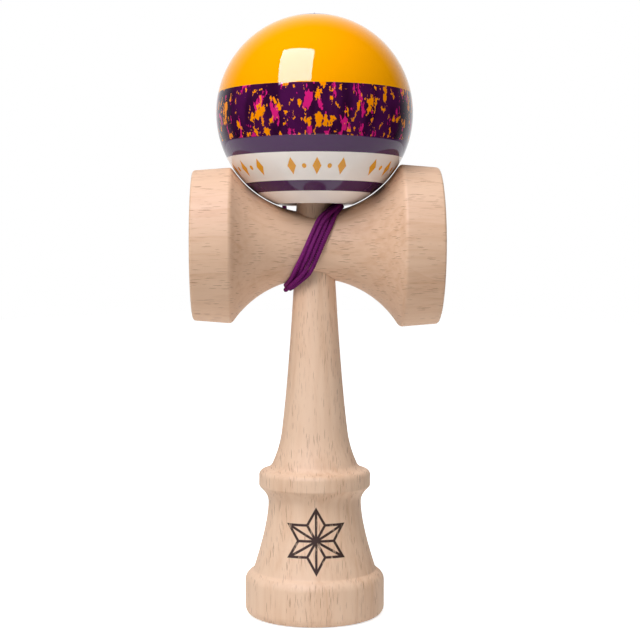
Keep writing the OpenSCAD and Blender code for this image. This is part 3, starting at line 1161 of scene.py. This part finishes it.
@dataclass
class Ball:
    """The lacquered ball, with its wide hole for the spike and a small hole for the cord."""

    ball_d: float
    middle_z: float
    hole_end_z: float
    hole_d: float = 0.0214
    hole_bevel: float = 0.0007
    wall_shares: Triple = (0.5, 0.25, 0.0)
    cord_hole_d: float = 0.003
    sink_d: float = 0.0084
    sink_h: float = 0.003
    edge_reach: float = 0.0003
    round_steps: int = 6 * CURVE_STEPS

    def outline(self) -> list[Vector]:
        """Draws the closed outline, starting and ending halfway up the hole's wall.

        Returns:
            The outline's points, with places along the axis counted from the ball's middle.
        """
        ball_r, hole_r, cord_r = self.ball_d / 2, self.hole_d / 2, self.cord_hole_d / 2
        mouth_r = hole_r + self.hole_bevel
        mouth_z = -math.sqrt(ball_r ** 2 - mouth_r ** 2)
        hole_end = self.hole_end_z - self.middle_z
        sink_z = ball_r - self.sink_h
        slope = (self.sink_d / 2 - cord_r) / self.sink_h
        start_r = cord_r - slope * sink_z
        square = slope ** 2 + 1
        sink_top = (math.sqrt(ball_r ** 2 * square - start_r ** 2) - slope * start_r) / square
        wall = [mouth_z + self.hole_bevel + (hole_end - mouth_z) * share for share in self.wall_shares]
        return joined(
            (Vector((hole_r, z)) for z in wall),
            arc(0.0, ball_r, math.asin(mouth_z / ball_r), math.asin(sink_top / ball_r), self.round_steps),
            [Vector((cord_r, sink_z)), Vector((cord_r, hole_end)), Vector((hole_r, hole_end))],
            [Vector((hole_r, (wall[0] + hole_end) / 2))],
        )

    def build(self, paint: BallPaint, wood: BeechFinish) -> bpy.types.Object:
        """Turns the ball, paints it and leaves its hole bare.

        Args:
            paint: The paint on the outside.
            wood: The wood inside the hole, toned dark as painted shade.

        Returns:
            The ball.
        """
        outline = softened(self.outline(), self.edge_reach)
        piece = turned("ball", outline, Spindle.UPRIGHT, self.middle_z, closed=True)
        piece.data.materials.append(paint.material())
        piece.data.materials.append(wood.material("beech_in_the_ball"))
        inside_r = self.hole_d / 2 + self.edge_reach
        inside_z = self.hole_end_z + self.sink_h
        for face in piece.data.polygons:
            at = face.center
            face.material_index = int(math.hypot(at.x, at.y) < inside_r and at.z < inside_z)
        return placed(piece, "ball", "ball_paint", "tama")


@dataclass
class Bead:
    """The bead that stops the cord's end in the ball."""

    foot_z: float
    bead_d: float = 0.007
    bead_h: float = 0.006
    bore_d: float = 0.0022
    top_gap: float = 0.00025
    edge_reach: float = 0.0003

    def build(self, finish: BeadFinish) -> bpy.types.Object:
        """Turns the bead and dresses it.

        Args:
            finish: The bead's finish.

        Returns:
            The bead.
        """
        top = math.asin(self.bead_h / self.bead_d)
        bore_r = self.bore_d / 2
        outline = joined(
            [Vector((bore_r, 0.0)), Vector((bore_r, -self.bead_h / 2))],
            arc(0.0, self.bead_d / 2, -top, top),
            [Vector((bore_r, self.bead_h / 2)), Vector((bore_r, self.bead_h / 4))],
        )
        middle_z = self.foot_z + self.bead_h / 2
        piece = turned("bead", softened(outline, self.edge_reach), Spindle.UPRIGHT, middle_z, closed=True)
        piece.data.materials.append(finish.material())
        return placed(piece, "cord_end", "bead", "string_bead")


@dataclass
class Cord:
    """The cord: tied in the cross-piece, wound round its waist, and led up behind the ball into its hole."""

    cross: CrossPiece
    ball: Ball
    bead: Bead
    diameter: float = 0.00145
    strand_pitch: float = 0.00138
    turns: int = 4
    rest_gap: float = 0.00005
    side_gap: float = 0.00045
    plies: int = 4
    ply_depth_share: float = 0.2
    lay_length: float = 0.0028
    section_sides: int = 20
    ring_spacing: float = 0.0003
    turn_steps: int = 72
    lead_y: float = 0.00724
    # The loop out of the cross-piece's back to the winding, from the cross-piece's middle.
    lead_route: tuple[Triple, ...] = (
        (0.0, 0.0090, 0.0), (0.0, 0.0106, 0.0), (0.0002, 0.0123, 0.0004), (0.00075, 0.0136, 0.0015),
        (0.0015, 0.0141, 0.0031), (0.0023, 0.0136, 0.0047), (0.0031, 0.0120, 0.0060),
    )
    # Angles round the waist: where a strand changes lanes, and where the winding starts and ends.
    lane_shift: float = math.radians(60)
    back_angle: float = math.radians(270)
    lead_end_angle: float = math.radians(315)
    end_short_of: float = math.radians(15)
    # How the strands climb over each other above and below the waist, sway to the side and spread.
    climb_from_share: float = 0.4
    climb_haste: float = 1.5
    front_share: float = 0.6
    lean_power: int = 5
    fan_step: float = 0.0003
    fan_power: int = 8
    heading_nudge: float = 0.001
    winding_drop: float = 0.02
    knot_strand_share: float = 0.9
    knot_room_share: float = 0.5
    knot_steps: int = 3 * CURVE_STEPS
    # The way up behind the ball and down into its hole, from the ball's middle.
    riser_route: tuple[Triple, ...] = (
        (-0.0069, 0.0132, -0.0378), (-0.0078, 0.0156, -0.0343), (-0.0087, 0.0184, -0.0304),
        (-0.0092, 0.0209, -0.026), (-0.0088, 0.0229, -0.022), (-0.008, 0.0248, -0.0182),
        (-0.007, 0.0265, -0.0148), (-0.006, 0.0283, -0.0114), (-0.005, 0.0296, -0.008),
        (-0.004, 0.0305, -0.0044), (-0.0031, 0.0309, -0.0008), (-0.0023, 0.0308, 0.0028),
        (-0.0016, 0.0303, 0.0066), (-0.001, 0.0293, 0.0102), (-0.0006, 0.0279, 0.0137),
        (-0.0003, 0.026, 0.017), (0.0, 0.0237, 0.0201), (0.0, 0.021, 0.0229),
        (0.0, 0.0179, 0.0254), (0.0, 0.0146, 0.0274), (0.0, 0.0111, 0.029),
        (0.0, 0.0076, 0.03015), (0.0, 0.0056, 0.03055), (0.0, 0.0042, 0.03065),
        (0.0, 0.003, 0.0303), (0.0, 0.002, 0.0297), (0.0, 0.0011, 0.0288),
        (0.0, 0.00045, 0.0278), (0.0, 0.0001, 0.0267), (0.0, 0.0, 0.0256), (0.0, 0.0, 0.025),
    )
    lift: float = field(init=False)
    around_r: float = field(init=False)
    middle_x: float = field(init=False)
    sway_x: float = field(init=False)
    back_x: float = field(init=False)
    end_angle: float = field(init=False)

    def __post_init__(self) -> None:
        """Works out the winding's sway from side to side."""
        handle = self.cross.handle
        shift = self.strand_pitch / 2 + self.diameter / 2 + self.side_gap
        top_x, bottom_x = handle.seat_high_d / 2 + shift, -handle.seat_low_d / 2 - shift
        self.lift = self.rest_gap + self.diameter / 2
        self.around_r = self.cross.waist_d / 2 + self.lift
        self.middle_x, self.sway_x = (top_x + bottom_x) / 2, (top_x - bottom_x) / 2
        back_pitch = self.strand_pitch * math.hypot(1.0, self.sway_x * self.front_share / self.around_r)
        self.back_x = -self.middle_x - back_pitch * self.turns / 2
        self.end_angle = self.back_angle + math.tau * self.turns - self.end_short_of

    @staticmethod
    def eased(t: float) -> float:
        """Gives a step from 0 to 1 with flat ends."""
        t = min(1.0, max(0.0, t))
        return t * t * (3 - 2 * t)

    def lane(self, angle: float) -> float:
        """Counts a strand's lane from the winding's middle; it falls by one behind the waist."""
        turn, rest = divmod(angle - self.back_angle + self.lane_shift / 2, math.tau)
        return (self.turns + 1) / 2 - turn - self.eased(rest / self.lane_shift)

    def lean(self, angle: float) -> float:
        """Gives the winding's sway, from 1 over the waist to -1 under it."""
        cosine = math.cos(angle)
        return self.front_share * cosine + (1 - self.front_share) * cosine ** self.lean_power

    def lean_rate(self, angle: float) -> float:
        """Gives the sway's change per radian."""
        bend = self.lean_power * (1 - self.front_share) * math.cos(angle) ** (self.lean_power - 1)
        return -math.sin(angle) * (self.front_share + bend)

    def fan(self, angle: float) -> float:
        """Gives how much further apart the strands lie in front, below the waist's middle."""
        below = max(0.0, -math.cos(angle)) if math.sin(angle) > 0 else 0.0
        return self.fan_step * below ** 2 * (1 - below ** self.fan_power)

    def wound(self, angle: float) -> Vector:
        """Gives a point on the wound cord's middle line.

        Args:
            angle: Angle round the cross-piece, from its top over the front.

        Returns:
            The point.
        """
        sine, cosine = math.sin(angle), math.cos(angle)
        behind = max(0.0, -sine)
        climb = self.eased((abs(cosine) - self.climb_from_share) / (1 - self.climb_from_share))
        slope = (2 * self.back_x * behind * -cosine + self.sway_x * self.lean_rate(angle)) / self.around_r
        at = self.lane(angle)
        pair = math.copysign(1.0, at)
        quarter = climb * math.pi / 2
        over = math.sin(min(math.pi / 2, self.climb_haste * quarter)) if pair * cosine < 0 else 0.0
        along = self.strand_pitch * math.hypot(1.0, slope) * (at - pair * (1 - math.cos(quarter)))
        x = self.middle_x + self.sway_x * self.lean(angle) + self.back_x * behind ** 2 + along
        x += self.fan(angle) * at
        radius = self.cross.saddle_r(x) + self.lift + self.strand_pitch * over
        return Vector((x, -radius * sine, self.cross.handle.cross_z + radius * cosine))

    def heading(self, angle: float) -> Vector:
        """Gives the wound cord's direction at an angle."""
        before, after = (self.wound(angle + side * self.heading_nudge) for side in (-1, 1))
        return (after - before).normalized()

    def route(self) -> list[Vector]:
        """Lays the cord's middle line, from its knot in the cross-piece to its knot under the bead.

        Returns:
            The points, evenly spaced.
        """
        cross_z = self.cross.handle.cross_z
        tied = Vector((0.0, self.lead_y, cross_z))
        lead = [Vector((x, y, cross_z + z)) for x, y, z in self.lead_route]
        step = math.tau / self.turn_steps
        count = round((self.end_angle - self.lead_end_angle) / step)
        winding = [self.wound(self.lead_end_angle + step * i) for i in range(count + 1)]
        leaving = winding[-1] + self.heading(self.end_angle) * self.diameter
        middle = Vector((0.0, 0.0, self.ball.middle_z))
        rising = [middle + Vector(p) for p in self.riser_route]
        riser = self.smooth_line([winding[-1], leaving, *rising, Vector((0.0, 0.0, self.bead.foot_z))])
        start = self.smooth_line([tied, *lead, *winding[:2]])
        return self.evened([tied, *start, *winding[2:], *riser])

    @staticmethod
    def thrown(start: Vector, pull: Vector, push: Vector, end: Vector, t: float) -> Vector:
        """Gives a point on the curve that leaves start towards pull and reaches end from push."""
        s = 1 - t
        return start * s ** 3 + pull * 3 * t * s * s + push * 3 * t * t * s + end * t ** 3

    @staticmethod
    def smooth_line(points: Sequence[Vector], steps: int = 8) -> list[Vector]:
        """Lays a smooth line through points, starting after the first.

        Args:
            points: The points that the line runs through.
            steps: Stretches between two of them.

        Returns:
            The line's points.
        """
        line: list[Vector] = []
        last = len(points) - 1
        for i in range(last):
            before, after = points[max(0, i - 1)], points[min(last, i + 2)]
            a, b = points[i], points[i + 1]
            third = (b - a).length / 3
            leave, arrive = (b - before).normalized() * third, (after - a).normalized() * third
            line += [Cord.thrown(a, a + leave, b - arrive, b, k / steps) for k in range(1, steps + 1)]
        return line

    def evened(self, points: Sequence[Vector]) -> list[Vector]:
        """Spaces a line's points evenly.

        Args:
            points: The line's points.

        Returns:
            Points at the cord's ring spacing.
        """
        lengths = running_lengths(points)
        count = round(lengths[-1] / self.ring_spacing)
        spaced, after = [points[0].copy()], 1
        for i in range(1, count):
            distance = lengths[-1] * i / count
            while lengths[after] < distance:
                after += 1
            share = (distance - lengths[after - 1]) / (lengths[after] - lengths[after - 1])
            spaced.append(points[after - 1].lerp(points[after], share))
        return [*spaced, points[-1].copy()]

    def section(self) -> list[Vector]:
        """Draws the cord's cross-section, with one swell for each ply.

        Returns:
            The section's points.
        """
        points = []
        for i in range(self.section_sides):
            angle = math.tau * i / self.section_sides
            dip = self.ply_depth_share * (1 - abs(math.cos(angle * self.plies / 2)))
            points.append(Vector((math.cos(angle), math.sin(angle))) * self.diameter / 2 * (1 - dip))
        return points

    def knot(self, name: str, node: str, turn: Matrix) -> bpy.types.Object:
        """Ties a tight overhand knot in the room of its plain solid.

        Args:
            name: Name of the piece.
            node: The solid whose room it fills.
            turn: Rotation that brings its axis to the cord's.

        Returns:
            The knot.
        """
        low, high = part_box(node)
        centre, room = (low + high) / 2, turn.inverted() @ (high - low)
        reach, height = abs(room.x) / 2, abs(room.z)
        # The path is a trefoil, which reaches out three times its swing.
        strand_d = min(self.diameter * self.knot_strand_share, height * self.knot_room_share)
        swing = (reach - strand_d / 2) / 3
        rise = (height - strand_d) / 2
        angles = [math.tau * i / self.knot_steps for i in range(self.knot_steps)]
        path = [centre + turn @ Vector((
            swing * (math.sin(a) + 2 * math.sin(2 * a)),
            swing * (math.cos(a) - 2 * math.cos(2 * a)),
            -rise * math.sin(3 * a),
        )) for a in angles]
        section = [p * strand_d / self.diameter for p in self.section()]
        return tube(name, path, section, math.tau / self.lay_length, cyclic=True)

    def build(self, finish: CordFinish) -> list[bpy.types.Object]:
        """Lays the cord, ties its knots and dresses them.

        Args:
            finish: The cord's finish.

        Returns:
            The cord and its two knots.
        """
        yarn = finish.material()
        path = self.route()
        cord = tube("cord", path, self.section(), math.tau / self.lay_length)
        under_bead = self.knot("knot_under_bead", "bead_knot", Matrix.Identity(3))
        in_cross = self.knot("knot_in_cross_piece", "sarado_knot", Matrix.Rotation(-math.pi / 2, 3, "X"))
        for piece in (cord, under_bead, in_cross):
            piece.data.materials.append(yarn)
        placed(under_bead, "cord_end", "cord", "bead_knot")
        placed(in_cross, "cross_piece", "cord", "sarado_knot")
        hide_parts("string_winding", "string_riser", "string_tail")
        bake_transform(cord)
        return [cord, under_bead, in_cross]


@dataclass
class Studio:
    """The plain studio: camera, white floor and background, a softbox and soft light all round."""

    camera_place: Triple = (-0.0118, -0.4278, 0.1064)
    camera_pitch: float = 0.0375
    camera_yaw: float = -0.0314
    lens_mm: float = 78.5
    sensor_mm: float = 36.0
    floor_half_w: float = 0.75
    floor_half_l: float = 1.63
    floor_front_y: float = -0.297
    floor_sides: int = 128
    floor_drop: float = 0.00005
    floor_colour: Colour = (0.86, 0.86, 0.86, 1.0)
    floor_glow: float = 0.75
    softbox_aim: Triple = (0.0, 0.0, 0.444)
    softbox_roll: float = 0.20
    softbox_place: Triple = (-0.228, -0.381, 0.726)
    softbox_size: Pair = (0.43, 0.575)
    softbox_power: float = 5.6
    cloth_colour: Colour = (0.92, 0.78, 1.0, 1.0)
    cloth_glow: float = 18.5
    # Levels of the soft light from the side, from above and from below, and of what the lacquer mirrors.
    ambient_low: float = 0.12
    ambient_high: float = 0.48
    sky_rise: Pair = (-0.1, 0.9)
    ambient_under: float = 0.34
    under_rise: Pair = (0.05, 0.35)
    front_level: float = 0.012
    rear_rise: Pair = (0.3, 0.95)

    def set_camera(self) -> None:
        """Places the camera and sets how its picture is shown."""
        scene = bpy.context.scene
        scene.view_settings.view_transform = "Standard"
        lens = bpy.data.cameras.new("camera")
        lens.lens = self.lens_mm
        lens.sensor_width = self.sensor_mm
        camera = bpy.data.objects.new("camera", lens)
        camera.location = self.camera_place
        camera.rotation_euler = (math.pi / 2 - self.camera_pitch, 0.0, self.camera_yaw)
        scene.collection.objects.link(camera)
        scene.camera = camera

    def light(self) -> None:
        """Lays the floor and sets up the light."""
        self.lay_floor()
        softbox = self.hang_softbox()
        self.hang_cloth(softbox.rotation_euler.to_matrix())
        self.fill_world()

    def hang_cloth(self, turn: Matrix) -> None:
        """Hangs the softbox's bright cloth, which only reflections show.

        Args:
            turn: The softbox's rotation.
        """
        width, height = self.softbox_size
        spread = Matrix.Diagonal((width / 2, height / 2, 1.0, 1.0))
        shape = bmesh.new()
        bmesh.ops.create_grid(shape, x_segments=1, y_segments=1, size=1.0,
                              matrix=Matrix.Translation(self.softbox_place) @ turn.to_4x4() @ spread)
        cloth = new_piece("softbox_cloth", shape)
        material, wiring, surface = bare_material("bright_cloth")
        feeds = {"Color": self.cloth_colour, "Strength": self.cloth_glow}
        wiring.feed(surface, wiring.add("ShaderNodeEmission", feeds).outputs[0])
        cloth.data.materials.append(material)
        cloth.visible_camera = False
        cloth.visible_diffuse = False
        cloth.visible_transmission = False
        cloth.visible_shadow = False

    def hang_softbox(self) -> bpy.types.Object:
        """Hangs the softbox's light, which reflections don't show.

        Returns:
            The light.
        """
        lamp = bpy.data.lights.new("softbox", "AREA")
        lamp.shape = "RECTANGLE"
        lamp.size, lamp.size_y = self.softbox_size
        lamp.energy = self.softbox_power
        light = bpy.data.objects.new("softbox", lamp)
        light.location = self.softbox_place
        light.visible_glossy = False
        facing = (Vector(self.softbox_aim) - Vector(self.softbox_place)).to_track_quat("-Z", "Y")
        light.rotation_euler = (facing.to_matrix() @ Matrix.Rotation(self.softbox_roll, 3, "Z")).to_euler()
        bpy.context.scene.collection.objects.link(light)
        return light

    def lay_floor(self) -> None:
        """Lays a white floor that keeps a soft shadow."""
        middle = Matrix.Translation((0.0, self.floor_front_y + self.floor_half_l, -self.floor_drop))
        spread = Matrix.Diagonal((self.floor_half_w, self.floor_half_l, 1.0, 1.0))
        shape = bmesh.new()
        bmesh.ops.create_circle(shape, cap_ends=True, cap_tris=True, segments=self.floor_sides, radius=1.0,
                                matrix=middle @ spread)
        floor = new_piece("floor", shape)
        material, wiring, surface = bare_material("white_floor")
        plain = wiring.add("ShaderNodeBsdfDiffuse", {"Color": self.floor_colour}).outputs[0]
        path = wiring.add("ShaderNodeLightPath").outputs
        shown = wiring.math("MAXIMUM", path["Is Camera Ray"], path["Is Glossy Ray"])
        strength = wiring.times(shown, self.floor_glow)
        glow = wiring.add("ShaderNodeEmission", {"Strength": strength}).outputs[0]
        both = wiring.add("ShaderNodeAddShader")
        wiring.feed(both.inputs[0], plain)
        wiring.feed(both.inputs[1], glow)
        wiring.feed(surface, both.outputs[0])
        floor.data.materials.append(material)

    def fill_world(self) -> None:
        """Fills the room with soft light, a white background and a dim front for reflections."""
        world = bpy.data.worlds.new("white_room")
        world.use_nodes = True
        bpy.context.scene.world = world
        wiring = Wiring(world.node_tree)
        background = world.node_tree.nodes["Background"]
        background.inputs["Color"].default_value = (1.0, 1.0, 1.0, 1.0)
        path = wiring.add("ShaderNodeLightPath").outputs
        shown = wiring.math("MAXIMUM", path["Is Camera Ray"], path["Is Transmission Ray"])
        way = wiring.add("ShaderNodeTexCoord").outputs["Generated"]
        toward = wiring.add("ShaderNodeSeparateXYZ", {"Vector": way}).outputs
        behind = wiring.math("MAXIMUM", wiring.rise(toward["Y"], *self.rear_rise), self.front_level)
        above = wiring.rise(toward["Z"], *self.sky_rise)
        above = wiring.times(above, self.ambient_high - self.ambient_low)
        under = wiring.rise(wiring.times(toward["Z"], -1.0), *self.under_rise)
        under = wiring.times(under, self.ambient_under - self.ambient_low)
        soft = wiring.plus(wiring.plus(above, under), self.ambient_low)
        mirrored = wiring.times(path["Is Glossy Ray"], wiring.minus(behind, soft))
        level = wiring.plus(mirrored, soft)
        wiring.feed(background.inputs["Strength"], wiring.math("MAXIMUM", level, shown))


def main() -> None:
    """Builds the toy's pieces in order and logs each one."""
    logging.basicConfig(level=logging.INFO, format="%(name)s: %(message)s")
    studio = Studio()
    studio.set_camera()
    figure = BeechFigure().build()
    handle = Handle()
    cross = CrossPiece(handle)
    ball_z = handle.cross_z + cross.saddle_lift
    bead_low, bead_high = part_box("string_bead")
    bead = Bead(foot_z=bead_low.z)
    ball = Ball(ball_d=cross.ball_d, middle_z=ball_z, hole_end_z=bead_high.z + bead.top_gap)
    pieces = Cord(cross, ball, bead).build(CordFinish())
    pieces.append(handle.build(BeechFinish(figure)))
    pieces.append(cross.build(BeechFinish(figure, BeechTone.RUDDY)))
    # The wood in the ball's hole takes the dark tone, which is painted shade.
    pieces.append(ball.build(BallPaint(ball_z), BeechFinish(figure, BeechTone.PAINTED_SHADE)))
    pieces.append(bead.build(BeadFinish()))
    studio.light()
    for piece in pieces:
        LOG.info("%s: %d faces", piece.name, len(piece.data.polygons))


if __name__ == "__main__":
    main()
